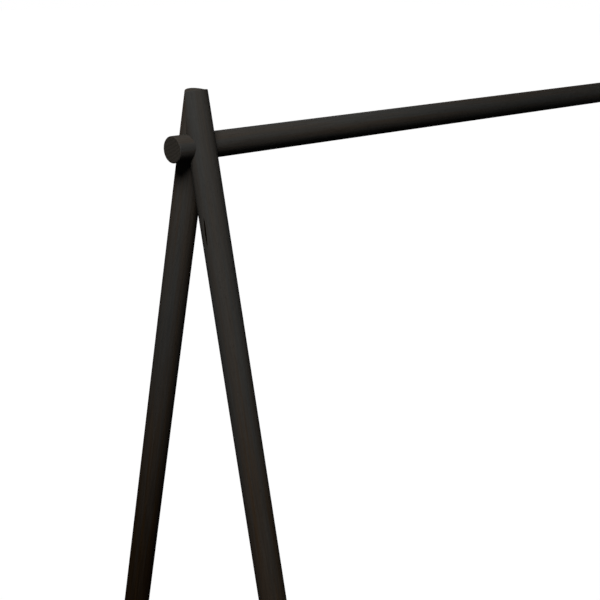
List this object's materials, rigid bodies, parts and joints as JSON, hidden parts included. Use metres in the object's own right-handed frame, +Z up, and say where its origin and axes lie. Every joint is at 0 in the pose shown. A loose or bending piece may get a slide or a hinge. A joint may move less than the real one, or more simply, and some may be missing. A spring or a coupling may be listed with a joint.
{
  "type": "clothes rack",
  "caption": "Free-standing clothes rack of dark stained round wood: two leaning mitred end frames carry a hanging rail, tied near the floor by cross bars and shoe rails.",
  "frame": {"origin": "on the floor, under the middle of the hanging rail", "axes": "+X along the hanging rail, towards the right when seen from the front; +Y from the front legs to the rear legs, where the heads' locking bolts are; +Z up"},
  "size_m": [1.5, 0.6532, 1.4537],
  "materials": {
    "stained_wood": "matt black stain, fine grain showing through",
    "plain_wood": "bare hardwood",
    "black_steel": "black oxide, satin",
    "zinc_plate": "bright zinc plate",
    "black_nylon": "moulded, matt"
  },
  "bodies": {
    "root": {"left_front_leg": "stained_wood", "left_rear_leg": "stained_wood", "right_front_leg": "stained_wood", "right_rear_leg": "stained_wood", "hanging_rail": "stained_wood", "left_cross_bar": "stained_wood", "right_cross_bar": "stained_wood", "front_shoe_rail": "stained_wood", "rear_shoe_rail": "stained_wood", "left_head_dowels": "plain_wood", "right_head_dowels": "plain_wood", "left_rail_insert": "zinc_plate", "right_rail_insert": "zinc_plate", "left_rail_bolt": "black_steel", "right_rail_bolt": "black_steel", "left_barrel_nuts": "zinc_plate", "right_barrel_nuts": "zinc_plate", "left_shoe_rail_bolts": "black_steel", "right_shoe_rail_bolts": "black_steel", "left_front_glide": "black_nylon", "left_rear_glide": "black_nylon", "right_front_glide": "black_nylon", "right_rear_glide": "black_nylon", "glide_nails": "zinc_plate"}
  },
  "joints": []
}
